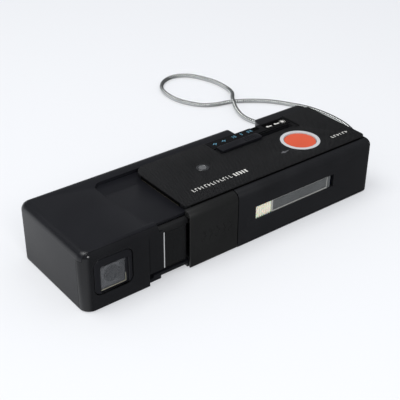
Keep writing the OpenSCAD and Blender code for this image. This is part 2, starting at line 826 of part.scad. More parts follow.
module button_ring() {
    color("#dfe1e6") place() translate([button_x, button_y, plate_z]) difference() {
        cylinder(r = ring_d / 2, h = plate_t + 0.15);
        translate([0, 0, 0.4]) cylinder(r = button_d / 2 + 0.3, h = 5);
        translate([0, 0, -1]) cylinder(r = button_d / 2 - 1.5, h = 5);
    }
}

module release_button() {
    color("#d9553a") place() translate([button_x, button_y, 0]) {
        translate([0, 0, plate_z + 1.2]) cylinder(r = button_d / 2, h = 0.45);
        translate([0, 0, plate_z + 0.9]) cylinder(r = 6.2, h = 0.3 + eps);
        translate([0, 0, 22]) cylinder(r = 2.5, h = plate_z + 1 - 22);
    }
}

module button_spring() {
    color("#b9bcc2") place() translate([button_x, button_y, plate_z]) rotate_extrude()
        polygon([[3.2, 0], [4.9, 0.5], [4.9, 0.9], [4.6, 0.9], [3.2, 0.35]]);
}

module release_lever() {
    color("#9fa2a8") place() difference() {
        union() {
            span([104.5, 19.8, 20.6], [139.6, 21.8, 21.4]);
            span([137.6, 19.8, 21.3], [139.6, 21.8, 21.9]);
            rod_y(121, 19.8, 21.3, 1.6, 2);
        }
        rod_y(121, 19, 21.3, 0.85, 4);
    }
}

module lever_bracket() {
    color("#9fa2a8") place() difference() {
        union() {
            span([118.5, 17.8, 19.2], [123.5, 23.8, 19.6]);
            span([118.5, 17.8, 19.2], [123.5, 19.4, 23]);
            span([118.5, 22.2, 19.2], [123.5, 23.8, 23]);
        }
        rod_y(121, 10, 21.3, 0.8, 20);
    }
}

module lever_pin() {
    color("#b9bcc2") place() rod_y(121, 17.8, 21.3, 0.8, 6);
}

module ready_lamp() {
    color("#55575c") place() translate([82.6, 27.9, channel_z - 0.4]) intersection() {
        cylinder(r = 3.1, h = 10);
        translate([0, 0, -4]) sphere(r = 5.9);
    }
}

// ---------------------------------------------------------------- flash

module flash_window() {
    color([0.75, 0.77, 0.8, 0.5]) place() difference() {
        span([flash_x + 10.3, 0.6, flash_z - flash_h / 2], [flash_x + 48.6, 1.8, flash_z + flash_h / 2]);
        span([flash_x + 11, 0, flash_z - flash_h / 2 + 0.6], [flash_x + 46.4, 0.9, flash_z + flash_h / 2 - 0.6]);
    }
}

module flash_end_block() {
    color("#e9e2c8") place() {
        span([flash_x, 1, flash_z - flash_h / 2], [flash_x + 10.3, 3, flash_z + flash_h / 2]);
        for (i = [0 : 6]) translate([flash_x + 1 + 1.35 * i, 1.2, flash_z - flash_h / 2])
            cylinder(r = 0.6, h = flash_h);
    }
}

// Trough behind the window, open to the front.
module flash_reflector() {
    color("#e4e6ea") place() difference() {
        union() {
            rod_x(flash_x + 11, 7.6, flash_z, 4.2, 36);
            span([flash_x + 11, wall, flash_z - 4.2], [flash_x + 47, 7.6, flash_z + 4.2]);
        }
        rod_x(flash_x + 11.4, 7.6, flash_z, 3.8, 35.2);
        span([flash_x + 11.4, -1, flash_z - 3.8], [flash_x + 46.6, 7.6, flash_z + 3.8]);
        rod_x(flash_x, 8.4, flash_z, 1.7, 60);
    }
}

module flash_tube() {
    color([0.9, 0.92, 0.95, 0.5]) place() rod_x(flash_x + 9, 8.4, flash_z, 1.6, 40);
}

module flash_capacitor() {
    color("#3c3f8a") place() {
        rod_x(142.2, 7.8, 8, 5.2, 20);
        rod_x(141.7, 7.8, 8, 4.4, 0.5 + eps);
    }
}

module flash_board() {
    color("#3f7a4e") place() {
        span([106, 13, 2.4], [163.6, 13.9, 22.4]);
        // transformer, trigger coil and resistors
        span([143.5, 5, 14.4], [153.5, 13 + eps, 22.4]);
        rod_y(158, 7.5, 18, 3, 5.5 + eps);
        for (i = [0 : 4]) rod_x(108 + 6.5 * i, 12.2, 4.6, 0.8, 4.5);
        for (i = [0 : 4]) span([109.7 + 6.5 * i, 12, 4.3], [110.5 + 6.5 * i, 13 + eps, 4.9]);
    }
}

module battery_cradle() {
    y0 = battery_y1 - battery_d / 2 - 0.4;
    y1 = battery_y2 + battery_d / 2 + 0.4;
    x0 = battery_x - 2.8;
    x1 = battery_x + battery_l + 3.2;
    color("#2e3036") place() difference() {
        span([x0, y0, 1.8], [x1, y1, 19.2]);
        span([x0 + 1.2, y0 - 1, 1], [x1 - 1.2, y1 + 1, 18.2]);
    }
    // posts up to the deck
    color("#2e3036") place() for (x = [x0 + 4, x1 - 8], y = [y1 - 3])
        translate([x, y, 19.2 - eps]) cylinder(r = 2, h = deck_z - 19.2 + eps);
}

module battery_contacts() {
    x0 = battery_x - 1.6;
    x1 = battery_x + battery_l + 2;
    color("#c9ccd2") place() {
        span([x0, 15.5, 4], [x0 + 0.4, 42.5, 17]);
        for (y = [battery_y1, battery_y2]) {
            span([x1 - 0.4, y - 5, 5], [x1, y + 5, 16]);
            for (i = [0 : 3]) translate([x1 - 0.9 - 0.5 * i, y, battery_z]) rotate([0, 90, 0])
                rotate_extrude() translate([4 - 0.9 * i, 0]) square([1, 0.5 + eps]);
        }
    }
}

// A round cell with its small raised terminal at the left or at the right.
module cell(y, nub_left) {
    rod_x(battery_x, y, battery_z, battery_d / 2, battery_l - 1.4);
    rod_x(battery_x + (nub_left ? -1.2 : battery_l - 1.4 - eps), y, battery_z, 2.7, nub_left ? 1.2 + eps : 1);
}

module battery_1() {
    color("#caa64b") place() cell(battery_y1, true);
}

module battery_2() {
    color("#caa64b") place() cell(battery_y2, true);
}

// ---------------------------------------------------------------- wrist strap

module strap_pin() {
    color("#c9ccd2") place() translate([pin_x, pin_y, floor_z + 0.1]) cylinder(r = 0.8, h = 9.6);
}

module strap_ring() {
    color("#c9ccd2") place() translate([open_l, pin_y, ring_z]) rotate_extrude()
        translate([ring_r, 0]) circle(0.6);
}

module strap_ferrule() {
    color("#b3b7bd") place() difference() {
        translate([ferrule_x, pin_y - 3.4, 0.3]) rotate([90, 0, 90]) linear_extrude(ferrule_l)
            rrect(6.8, 5, 1.6);
        translate([open_l, pin_y, ring_z]) rotate_extrude() translate([ring_r, 0]) circle(0.6);
        span([ferrule_x - 1, pin_y - 1.6, -1], [open_l + ring_r, pin_y + 1.6, 10]);
    }
}

// A smooth curve through the route's points.
function spline(a, b, c, d, t) =
    0.5 * (2 * b + (c - a) * t + (2 * a - 5 * b + 4 * c - d) * t * t
        + (3 * b - a - 3 * c + d) * t * t * t);
function route_at(pts, s) =
    let (n = len(pts) - 1, i = min(floor(s), n - 1), t = s - i)
    spline(pts[max(i - 1, 0)], pts[i], pts[i + 1], pts[min(i + 2, n)], t);
function unit(v) = v / norm(v);
function ring_points(pts, s, r, sides) =
    let (
        p = route_at(pts, s),
        h = 0.02,
        along = unit(route_at(pts, min(s + h, len(pts) - 1)) - route_at(pts, max(s - h, 0))),
        side = unit(cross(along, [0, 0, 1])),
        up = cross(side, along)
    )
    [for (k = [0 : sides - 1]) p + r * (cos(360 * k / sides) * side + sin(360 * k / sides) * up)];

module strap_cord() {
    last = strap_rings - 1;
    points = [for (i = [0 : last]) each ring_points(strap_route, i * (len(strap_route) - 1) / last,
        strap_d / 2, strap_sides)];
    sides_faces = [for (i = [0 : last - 1], k = [0 : strap_sides - 1])
        let (a = i * strap_sides, n = (k + 1) % strap_sides)
        [a + k, a + strap_sides + k, a + strap_sides + n, a + n]];
    start = [for (k = [0 : strap_sides - 1]) k];
    end = [for (k = [strap_sides - 1 : -1 : 0]) last * strap_sides + k];
    color("#b3b7bd") translate([ferrule_x + ferrule_l - open_l / 2 - strap_route[0][0], 0, 0])
        polyhedron(points, concat(sides_faces, [start, end]), convexity = 10);
}

housing_shell();
housing_base();
front_panel();
edge_trim();
finder_bezel();
finder_glass();
finder_plate();
finder_lens();
finder_eyepiece();
wind_rack();
housing_screws();
film_door();
film_window();
cartridge_spring();
door_hinge_pin();
chassis();
neck_window();
shutter_cover();
body_shell();
body_base();
body_screws();
top_plate();
scale_plate();
mode_slider();
aperture_bar();
button_ring();
release_button();
button_spring();
release_lever();
lever_bracket();
lever_pin();
ready_lamp();
lens_barrel();
taking_lens();
shutter_plate();
shutter_blade();
film_cartridge();
takeup_spool();
wind_gear();
flash_window();
flash_end_block();
flash_reflector();
flash_tube();
flash_capacitor();
flash_board();
battery_cradle();
battery_contacts();
battery_1();
battery_2();
battery_door();
strap_pin();
strap_ring();
strap_ferrule();
strap_cord();
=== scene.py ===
"""Looks of the pocket cartridge camera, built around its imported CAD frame.

Places are written in millimetres from the lower left front corner of the open body,
as in the CAD source, and at() turns them into the frame's metres.
"""
import json
import math

import bmesh
import bpy
from mathutils import Matrix, Vector

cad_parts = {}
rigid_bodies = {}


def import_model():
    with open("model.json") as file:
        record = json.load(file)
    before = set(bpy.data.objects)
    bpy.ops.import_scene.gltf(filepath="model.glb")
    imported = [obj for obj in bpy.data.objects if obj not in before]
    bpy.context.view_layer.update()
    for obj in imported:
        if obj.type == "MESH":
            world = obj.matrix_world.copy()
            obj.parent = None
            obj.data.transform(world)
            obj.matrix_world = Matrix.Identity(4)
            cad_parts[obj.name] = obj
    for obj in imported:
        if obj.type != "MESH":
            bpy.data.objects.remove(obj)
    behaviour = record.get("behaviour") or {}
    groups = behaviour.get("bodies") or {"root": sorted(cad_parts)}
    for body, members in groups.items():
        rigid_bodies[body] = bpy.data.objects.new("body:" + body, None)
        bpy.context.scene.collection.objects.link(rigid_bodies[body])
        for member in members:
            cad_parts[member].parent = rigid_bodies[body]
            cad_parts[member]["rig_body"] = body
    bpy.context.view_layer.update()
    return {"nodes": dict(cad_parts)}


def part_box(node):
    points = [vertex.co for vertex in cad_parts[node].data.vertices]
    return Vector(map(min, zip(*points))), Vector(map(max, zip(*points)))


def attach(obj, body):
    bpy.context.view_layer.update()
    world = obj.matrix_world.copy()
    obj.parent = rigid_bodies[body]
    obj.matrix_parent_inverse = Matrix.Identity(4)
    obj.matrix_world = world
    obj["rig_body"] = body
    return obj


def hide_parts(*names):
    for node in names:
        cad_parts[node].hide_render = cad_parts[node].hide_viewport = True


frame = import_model()

MM = 0.001
CORNER = Vector((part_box("housing_shell")[0].x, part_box("front_panel")[0].y, 0.0))
NODES = frame["nodes"]
collection = bpy.context.scene.collection


def at(x, y, z):
    """A point in the frame, from millimetres measured from the body's corner."""
    return CORNER + Vector((x, y, z)) * MM


# ------------------------------------------------------------------ camera

AZIMUTH = math.radians(-38.01)
ELEVATION = math.radians(31.47)
ROLL = math.radians(0.45)
DISTANCE = 0.40917
TARGET = Vector((-0.00435, -0.00004, 0.0130))


def make_camera():
    data = bpy.data.cameras.new("camera")
    data.sensor_width = 36.0
    data.lens = 77.086
    data.clip_start, data.clip_end = 0.02, 10.0
    camera = bpy.data.objects.new("camera", data)
    collection.objects.link(camera)
    flat = math.cos(ELEVATION)
    back = Vector((math.sin(AZIMUTH) * flat, -math.cos(AZIMUTH) * flat, math.sin(ELEVATION)))
    side = Vector((0, 0, 1)).cross(back).normalized()
    above = back.cross(side)
    right = side * math.cos(ROLL) + above * math.sin(ROLL)
    up = above * math.cos(ROLL) - side * math.sin(ROLL)
    camera.matrix_world = Matrix.Translation(TARGET + back * DISTANCE) @ Matrix(
        (right, up, back)).transposed().to_4x4()
    bpy.context.scene.camera = camera


make_camera()

# ------------------------------------------------------------------ materials


def principled(name):
    made = bpy.data.materials.new(name)
    made.use_nodes = True
    tree = made.node_tree
    return made, tree, tree.nodes["Principled BSDF"]


def noise_bump(tree, shader, scale, strength, distance):
    """Fine grain: noise in object space through a Bump node."""
    place = tree.nodes.new("ShaderNodeTexCoord")
    noise = tree.nodes.new("ShaderNodeTexNoise")
    noise.inputs["Scale"].default_value = scale
    noise.inputs["Detail"].default_value = 2.0
    bump = tree.nodes.new("ShaderNodeBump")
    bump.inputs["Strength"].default_value = strength
    bump.inputs["Distance"].default_value = distance
    tree.links.new(place.outputs["Object"], noise.inputs["Vector"])
    tree.links.new(noise.outputs["Fac"], bump.inputs["Height"])
    tree.links.new(bump.outputs["Normal"], shader.inputs["Normal"])


def mottle(tree, shader, color, scale, spread, roughness, rough_spread):
    """Slow variation of the colour and the roughness, as handled plastic has."""
    place = tree.nodes.new("ShaderNodeTexCoord")
    noise = tree.nodes.new("ShaderNodeTexNoise")
    noise.inputs["Scale"].default_value = scale
    noise.inputs["Detail"].default_value = 5.0
    tree.links.new(place.outputs["Object"], noise.inputs["Vector"])
    ramp = tree.nodes.new("ShaderNodeValToRGB")
    low, high = ramp.color_ramp.elements
    low.position, high.position = 0.3, 0.7
    low.color = [c * (1 - spread) for c in color[:3]] + [1]
    high.color = [min(1, c * (1 + spread)) for c in color[:3]] + [1]
    tree.links.new(noise.outputs["Fac"], ramp.inputs["Fac"])
    tree.links.new(ramp.outputs["Color"], shader.inputs["Base Color"])
    span = tree.nodes.new("ShaderNodeMapRange")
    span.inputs["To Min"].default_value = max(0.0, roughness - rough_spread)
    span.inputs["To Max"].default_value = roughness + rough_spread
    tree.links.new(noise.outputs["Fac"], span.inputs["Value"])
    tree.links.new(span.outputs["Result"], shader.inputs["Roughness"])


def plastic(name, color, roughness=0.4, spread=0.12, rough_spread=0.05, grain=0.0, specular=0.5,
            coat=0.0):
    made, tree, shader = principled(name)
    shader.inputs["Specular IOR Level"].default_value = specular
    shader.inputs["Coat Weight"].default_value = coat
    shader.inputs["Coat Roughness"].default_value = 0.08
    mottle(tree, shader, color, 60.0, spread, roughness, rough_spread)
    if grain:
        noise_bump(tree, shader, 2600.0, grain, 0.00004)
    return made


def metal(name, color, roughness=0.3, rough_spread=0.06, grain=0.1):
    made, tree, shader = principled(name)
    shader.inputs["Metallic"].default_value = 1.0
    mottle(tree, shader, color, 200.0, 0.06, roughness, rough_spread)
    if grain:
        noise_bump(tree, shader, 1800.0, grain, 0.00003)
    return made


def clear(name, color, alpha):
    """Thin clear moulding: mostly see-through, with the gloss of its face."""
    made, _tree, shader = principled(name)
    shader.inputs["Base Color"].default_value = list(color) + [1]
    shader.inputs["Roughness"].default_value = 0.04
    shader.inputs["Alpha"].default_value = alpha
    return made


def textured_plate(name, color):
    """Moulded top plate: a fine grid of raised points turned by 45 degrees, slightly satin."""
    made, tree, shader = principled(name)
    shader.inputs["Specular IOR Level"].default_value = 0.32
    mottle(tree, shader, color, 40.0, 0.1, 0.45, 0.05)
    place = tree.nodes.new("ShaderNodeTexCoord")
    turn = tree.nodes.new("ShaderNodeMapping")
    turn.inputs["Rotation"].default_value = (0, 0, math.radians(45))
    tree.links.new(place.outputs["Object"], turn.inputs["Vector"])
    waves = []
    pitch = 0.62 * MM
    for direction in ("X", "Y"):
        wave = tree.nodes.new("ShaderNodeTexWave")
        wave.bands_direction = direction
        wave.wave_profile = "SIN"
        # the bands of this texture repeat every 2 pi / (20 * scale)
        wave.inputs["Scale"].default_value = 2 * math.pi / (20 * pitch)
        wave.inputs["Distortion"].default_value = 0.0
        tree.links.new(turn.outputs["Vector"], wave.inputs["Vector"])
        waves.append(wave)
    both = tree.nodes.new("ShaderNodeMath")
    both.operation = "MULTIPLY"
    for i, wave in enumerate(waves):
        tree.links.new(wave.outputs["Fac"], both.inputs[i])
    bump = tree.nodes.new("ShaderNodeBump")
    bump.inputs["Strength"].default_value = 1.0
    bump.inputs["Distance"].default_value = 0.3 * MM
    tree.links.new(both.outputs["Value"], bump.inputs["Height"])
    tree.links.new(bump.outputs["Normal"], shader.inputs["Normal"])
    # painted highlight and shade: the raised points are painted paler and the hollows darker,
    # standing for light on the points and shade in the hollows
    paler = tree.nodes.new("ShaderNodeMapRange")
    paler.inputs["To Min"].default_value = 0.25
    paler.inputs["To Max"].default_value = 3.0
    tree.links.new(both.outputs["Value"], paler.inputs["Value"])
    scaled = tree.nodes.new("ShaderNodeVectorMath")
    scaled.operation = "SCALE"
    tree.links.new(shader.inputs["Base Color"].links[0].from_socket, scaled.inputs["Vector"])
    tree.links.new(paler.outputs["Result"], scaled.inputs["Scale"])
    tree.links.new(scaled.outputs["Vector"], shader.inputs["Base Color"])
    return made


def ribbed_clear(name):
    """Translucent cream plastic of the flash's end block."""
    made, tree, shader = principled(name)
    shader.inputs["Subsurface Weight"].default_value = 0.3
    shader.inputs["Subsurface Scale"].default_value = 0.002
    shader.inputs["Coat Weight"].default_value = 0.6
    mottle(tree, shader, (0.78, 0.74, 0.60), 300.0, 0.08, 0.28, 0.06)
    return made


MATERIALS = {
    "black_plastic": plastic("black_plastic", (0.0068, 0.0071, 0.0095), 0.36, grain=0.25),
    "shell_black": plastic("shell_black", (0.0082, 0.0085, 0.0100), 0.36, grain=0.25),
    "scale_black": plastic("scale_black", (0.0040, 0.0041, 0.0046), 0.25, specular=0.25),
    "gloss_black": plastic("gloss_black", (0.0088, 0.0090, 0.0100), 0.13, rough_spread=0.03,
                           specular=0.28, coat=0.1),
    "cover_black": plastic("cover_black", (0.0090, 0.0092, 0.0090), 0.38, grain=0.3),
    "plate_black": textured_plate("plate_black", (0.0058, 0.0060, 0.0070)),
    "frame_black": plastic("frame_black", (0.0075, 0.0076, 0.0082), 0.45, grain=0.3),
    # near-black used for painted shade: sheets in the gaps between parts and deep under the slider's
    # slot, and also for the dark field behind the weather symbols
    "black_field_and_gap_shade": plastic("black_field_and_gap_shade", (0.002, 0.002, 0.002), 0.6, specular=0.05),
    "bright_trim": plastic("bright_trim", (0.44, 0.44, 0.44), 0.2, spread=0.03, coat=0.3),
    "clear_glass": clear("clear_glass", (0.30, 0.31, 0.33), 0.07),
    "finder_gray": plastic("finder_gray", (0.082, 0.084, 0.088), 0.42, spread=0.06, specular=0.3),
    "lens_dark": plastic("lens_dark", (0.030, 0.031, 0.032), 0.4, specular=0.15),
    "brass": metal("brass", (0.72, 0.52, 0.20), 0.3),
    "steel": metal("steel", (0.55, 0.56, 0.58), 0.32),
    "button_ring": plastic("button_ring", (0.50, 0.505, 0.51), 0.35, spread=0.04),
    "button_orange": plastic("button_orange", (0.60, 0.082, 0.032), 0.42, spread=0.06),
    "smoky_lamp": plastic("smoky_lamp", (0.030, 0.031, 0.033), 0.2, coat=0.2),
    "cream_plastic": ribbed_clear("cream_plastic"),
    "reflector": metal("reflector", (0.80, 0.81, 0.82), 0.12, grain=0.0),
    "flash_gray": plastic("flash_gray", (0.092, 0.096, 0.096), 0.22, coat=0.6),
    "flash_pale": plastic("flash_pale", (0.34, 0.34, 0.32), 0.3, coat=0.5),
    "board": plastic("board", (0.035, 0.16, 0.06), 0.4),
    "capacitor": plastic("capacitor", (0.012, 0.016, 0.10), 0.3),
    "cell": metal("cell", (0.52, 0.34, 0.10), 0.28),
    "cartridge": plastic("cartridge", (0.020, 0.020, 0.021), 0.5, grain=0.5),
    "strap_metal": metal("strap_metal", (0.70, 0.72, 0.71), 0.2, grain=0.0),
    "print_white": plastic("print_white", (0.60, 0.59, 0.55), 0.5, spread=0.05),
    "print_blue": plastic("print_blue", (0.095, 0.26, 0.36), 0.5, spread=0.05),
    "print_gray": plastic("print_gray", (0.10, 0.10, 0.105), 0.5, spread=0.05),
    "smoked": plastic("smoked", (0.0055, 0.0057, 0.0060), 0.10, rough_spread=0.03, coat=0.3),
    # painted highlight colour for the line under the top plate's left edge
    "warm_highlight": plastic("warm_highlight", (0.060, 0.054, 0.038), 0.35, spread=0.1),
    # painted highlight colour for the finder glass's lit edges
    "glass_glint": plastic("glass_glint", (0.30, 0.29, 0.22), 0.2, spread=0.1, coat=1.0),
    "lamp_center": plastic("lamp_center", (0.105, 0.107, 0.109), 0.25, coat=0.2),
}


def paint(obj, look):
    obj.data.materials.clear()
    obj.data.materials.append(MATERIALS[look])
    return obj


# ------------------------------------------------------------------ mesh helpers


def new_object(name, bm, look, body, smooth=True):
    data = bpy.data.meshes.new(name)
    bmesh.ops.recalc_face_normals(bm, faces=bm.faces)
    bm.to_mesh(data)
    bm.free()
    obj = bpy.data.objects.new(name, data)
    collection.objects.link(obj)
    if smooth:
        data.shade_smooth()
        data.set_sharp_from_angle(angle=math.radians(32))
    paint(obj, look)
    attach(obj, body)
    return obj


def soften(node, look, width, merge=0.002):
    """A copy of a CAD node's mesh with small bevels on its sharp edges, which stands for the node.

    width is the bevel's, and points closer than merge are joined first; both are in millimetres.
    """
    cad = NODES[node]
    bm = bmesh.new()
    bm.from_mesh(cad.data)
    bmesh.ops.remove_doubles(bm, verts=bm.verts, dist=merge * MM)
    bmesh.ops.dissolve_limit(bm, angle_limit=math.radians(0.6), verts=bm.verts, edges=bm.edges)
    obj = new_object(node + "_look", bm, look, cad["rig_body"], smooth=False)
    bevel = obj.modifiers.new("edges", "BEVEL")
    bevel.width = width * MM
    bevel.segments = 2
    bevel.limit_method = "ANGLE"
    bevel.angle_limit = math.radians(35)
    graph = bpy.context.evaluated_depsgraph_get()
    done = bpy.data.meshes.new_from_object(obj.evaluated_get(graph))
    obj.modifiers.clear()
    obj.data = done
    done.name = obj.name
    done.shade_smooth()
    done.set_sharp_from_angle(angle=math.radians(40))
    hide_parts(node)
    return obj


def add_box(bm, low, high):
    """Adds a box given by two corners in millimetres."""
    lo, hi = at(*low), at(*high)
    for v in bmesh.ops.create_cube(bm, size=1.0)["verts"]:
        v.co = Vector([lo[i] + (v.co[i] + 0.5) * (hi[i] - lo[i]) for i in range(3)])


def add_prism(bm, outline, low, high):
    """Adds an upright prism: an outline of (x, y) points in millimetres, from low to high."""
    bottom = [bm.verts.new(at(x, y, low)) for x, y in outline]
    top = [bm.verts.new(at(x, y, high)) for x, y in outline]
    n = len(outline)
    bm.faces.new(bottom[::-1])
    bm.faces.new(top)
    for i in range(n):
        bm.faces.new((bottom[i], bottom[(i + 1) % n], top[(i + 1) % n], top[i]))


def arc(cx, cy, r, start, end, steps):
    """Points on an arc, with its angles in degrees."""
    return [(cx + r * math.cos(math.radians(start + (end - start) * i / steps)),
             cy + r * math.sin(math.radians(start + (end - start) * i / steps)))
            for i in range(steps + 1)]


def rounded(x0, y0, x1, y1, r, steps=6):
    """Outline of a rectangle with round corners."""
    return (arc(x1 - r, y0 + r, r, -90, 0, steps) + arc(x1 - r, y1 - r, r, 0, 90, steps)
            + arc(x0 + r, y1 - r, r, 90, 180, steps) + arc(x0 + r, y0 + r, r, 180, 270, steps))


def skin(bm, rings):
    """Joins rings of points into a closed tube."""
    sides = len(rings[0])
    for lower, upper in zip(rings, rings[1:]):
        for k in range(sides):
            n = (k + 1) % sides
            bm.faces.new((lower[k], lower[n], upper[n], upper[k]))
    bm.faces.new(rings[0][::-1])
    bm.faces.new(rings[-1])


def add_lathe(bm, x, y, profile, steps=64):
    """Adds an upright solid of revolution: profile is a list of (radius, height) in millimetres."""
    rings = []
    for r, h in profile:
        turns = [2 * math.pi * k / steps for k in range(steps)]
        rings.append([bm.verts.new(at(x + r * math.cos(a), y + r * math.sin(a), h)) for a in turns])
    skin(bm, rings)


# ------------------------------------------------------------------ wrist strap

STRAP_D = 2.5 * MM
# in the frame's metres, from the ferrule round the loop and back
ROUTE = [
    (0.09575, 0.0139, 0.0028), (0.100, 0.015, 0.0022), (0.104, 0.0195, 0.0014),
    (0.104, 0.0265, 0.0013), (0.099, 0.0385, 0.0013), (0.093, 0.0515, 0.0013),
    (0.088, 0.0645, 0.0013), (0.0865, 0.0745, 0.0016), (0.089, 0.0845, 0.0026),
    (0.094, 0.094, 0.004), (0.101, 0.103, 0.0029), (0.105, 0.1135, 0.0016),
    (0.105, 0.1275, 0.0013), (0.099, 0.1425, 0.0013), (0.090, 0.1485, 0.0013),
    (0.080, 0.1465, 0.0013), (0.072, 0.1385, 0.0013), (0.069, 0.1275, 0.0013),
    (0.070, 0.1155, 0.0013), (0.076, 0.104, 0.0013), (0.084, 0.0985, 0.0013),
    (0.095, 0.0955, 0.0013), (0.106, 0.089, 0.0013), (0.115, 0.0805, 0.0013),
    (0.122, 0.0695, 0.0013), (0.127, 0.0585, 0.0013), (0.129, 0.0445, 0.0013),
    (0.128, 0.031, 0.0013), (0.124, 0.0205, 0.0013), (0.116, 0.0135, 0.0013),
    (0.106, 0.011, 0.0015), (0.100, 0.011, 0.0022), (0.09575, 0.0111, 0.0028),
]


def route_point(points, s):
    """Catmull-Rom curve through the route's points, as the CAD tube follows it."""
    last = len(points) - 1
    i = min(int(s), last - 1)
    t = s - i
    a, b = Vector(points[max(i - 1, 0)]), Vector(points[i])
    c, d = Vector(points[i + 1]), Vector(points[min(i + 2, last)])
    return 0.5 * (2 * b + (c - a) * t + (2 * a - 5 * b + 4 * c - d) * t * t
                  + (3 * b - a - 3 * c + d) * t ** 3)


def even_path(points, step):
    """Points along the route at equal distances."""
    per_span = 60
    fine = [route_point(points, i / per_span) for i in range(per_span * (len(points) - 1) + 1)]
    lengths = [0.0]
    for p, q in zip(fine, fine[1:]):
        lengths.append(lengths[-1] + (q - p).length)
    count = round(lengths[-1] / step)
    out, j = [], 0
    for k in range(count + 1):
        goal = lengths[-1] * k / count
        while j < len(lengths) - 2 and lengths[j + 1] < goal:
            j += 1
        share = (goal - lengths[j]) / (lengths[j + 1] - lengths[j])
        out.append(fine[j].lerp(fine[j + 1], share))
    return out, lengths[-1]


def make_strap():
    """The metal sleeve: a tube with a fine wound rib, swept along the route."""
    rib = 1.3 * MM
    groove = 0.2 * MM
    per_rib = 4
    path, length = even_path(ROUTE, rib / per_rib)
    sides = 14
    bm = bmesh.new()
    rings = []
    for i, p in enumerate(path):
        along = (path[min(i + 1, len(path) - 1)] - path[max(i - 1, 0)]).normalized()
        side = along.cross(Vector((0, 0, 1))).normalized()
        up = side.cross(along)
        radius = STRAP_D / 2 - (groove if i % per_rib == 0 else 0.0)
        rings.append([bm.verts.new(p + radius * (math.cos(a) * side + math.sin(a) * up))
                      for a in (2 * math.pi * k / sides for k in range(sides))])
    skin(bm, rings)
    obj = new_object("strap_sleeve", bm, "strap_metal", "body")
    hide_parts("strap_cord")
    return obj, path, length


strap, strap_path, strap_length = make_strap()
ferrule = soften("strap_ferrule", "strap_metal", 0.15)
ring = NODES["strap_ring"]
paint(ring, "steel")

# ------------------------------------------------------------------ CAD pieces with real looks

# node: look, bevel width and merge distance in millimetres
SOFTENED = {
    "housing_shell": ("black_plastic", 0.15, 0.03),
    "housing_base": ("black_plastic", 0.2, 0.002),
    "front_panel": ("gloss_black", 0.15, 0.03),
    "finder_bezel": ("black_plastic", 0.45, 0.002),
    "film_door": ("black_plastic", 0.2, 0.02),
    "shutter_cover": ("cover_black", 0.3, 0.02),
    "body_shell": ("shell_black", 0.2, 0.03),
    "body_base": ("black_plastic", 0.2, 0.002),
    "battery_door": ("black_plastic", 0.2, 0.002),
    "chassis": ("frame_black", 0.2, 0.002),
    "top_plate": ("plate_black", 0.2, 0.002),
    "mode_slider": ("black_plastic", 0.15, 0.002),
    "button_ring": ("button_ring", 0.25, 0.002),
    "lens_barrel": ("frame_black", 0.2, 0.002),
    "housing_screws": ("steel", 0.08, 0.002),
    "body_screws": ("steel", 0.08, 0.002),
}
for node, (look, width, merge) in SOFTENED.items():
    soften(node, look, width, merge)

PLAIN = {
    "edge_trim": "bright_trim", "neck_window": "smoked", "finder_glass": "clear_glass",
    "finder_plate": "finder_gray", "finder_lens": "lens_dark", "finder_eyepiece": "clear_glass",
    "wind_rack": "brass",
    "film_window": "clear_glass", "cartridge_spring": "steel", "door_hinge_pin": "steel",
    "scale_plate": "scale_black", "aperture_bar": "steel", "release_button": "button_orange",
    "button_spring": "steel", "release_lever": "steel", "lever_bracket": "steel",
    "lever_pin": "steel", "ready_lamp": "smoky_lamp", "taking_lens": "clear_glass",
    "shutter_plate": "steel", "shutter_blade": "frame_black", "film_cartridge": "cartridge",
    "takeup_spool": "frame_black", "wind_gear": "brass", "flash_window": "flash_pale",
    "flash_end_block": "cream_plastic", "flash_reflector": "reflector", "flash_tube": "clear_glass",
    "flash_capacitor": "capacitor", "flash_board": "board", "battery_cradle": "frame_black",
    "battery_contacts": "steel", "battery_1": "cell", "battery_2": "cell", "strap_pin": "steel",
    "strap_cord": "strap_metal", "strap_ferrule": "strap_metal",
}
for node, look in PLAIN.items():
    paint(NODES[node], look)

# ------------------------------------------------------------------ finer shapes and prints

PLATE_TOP = 30.0
SCALE_TOP = 29.5
FIELD = 29.2    # the dark surface that shows in the slider's slot
INK = 0.03      # thickness of a print
BUTTON = (138.6, 20.8)
LAMP = (82.6, 27.9)


def piece(name, look, body, boxes):
    """One object made of boxes, each given by two corners."""
    bm = bmesh.new()
    for low, high in boxes:
        add_box(bm, low, high)
    return new_object(name, bm, look, body, smooth=False)


def flat_boxes(rects, z, height=INK):
    """Thin boxes from (x0, y0, x1, y1) rectangles."""
    return [((x0, y0, z), (x1, y1, z + height)) for x0, y0, x1, y1 in rects]


def make_button():
    """The release button, with a slight dome and a rounded rim."""
    bm = bmesh.new()
    add_lathe(bm, *BUTTON, [
        (2.5, 22.0), (2.5, 29.03), (6.2, 29.03), (6.2, 29.3), (7.75, 29.3), (7.93, 29.38),
        (7.95, 29.48), (7.85, 29.58), (7.5, 29.64), (6.4, 29.67), (4.8, 29.70), (3.2, 29.725),
        (1.6, 29.74), (0.2, 29.745)], steps=96)
    obj = new_object("button_cap", bm, "button_orange", "button")
    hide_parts("release_button")


def make_lamp():
    """The ready lamp: a dark rim round a paler dome."""
    bm = bmesh.new()
    add_lathe(bm, *LAMP, [(3.09, 28.6), (3.09, 29.95), (2.95, 30.06), (2.3, 30.06), (1.95, 29.8),
                          (1.95, 28.7)])
    rim = new_object("lamp_rim", bm, "smoky_lamp", "body")
    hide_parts("ready_lamp")
    bm = bmesh.new()
    add_lathe(bm, *LAMP, [(1.94, 29.0), (1.94, 29.9), (1.85, 30.1), (1.5, 30.22), (1.0, 30.3),
                          (0.5, 30.34), (0.05, 30.35)])
    new_object("lamp_dome", bm, "lamp_center", "body")


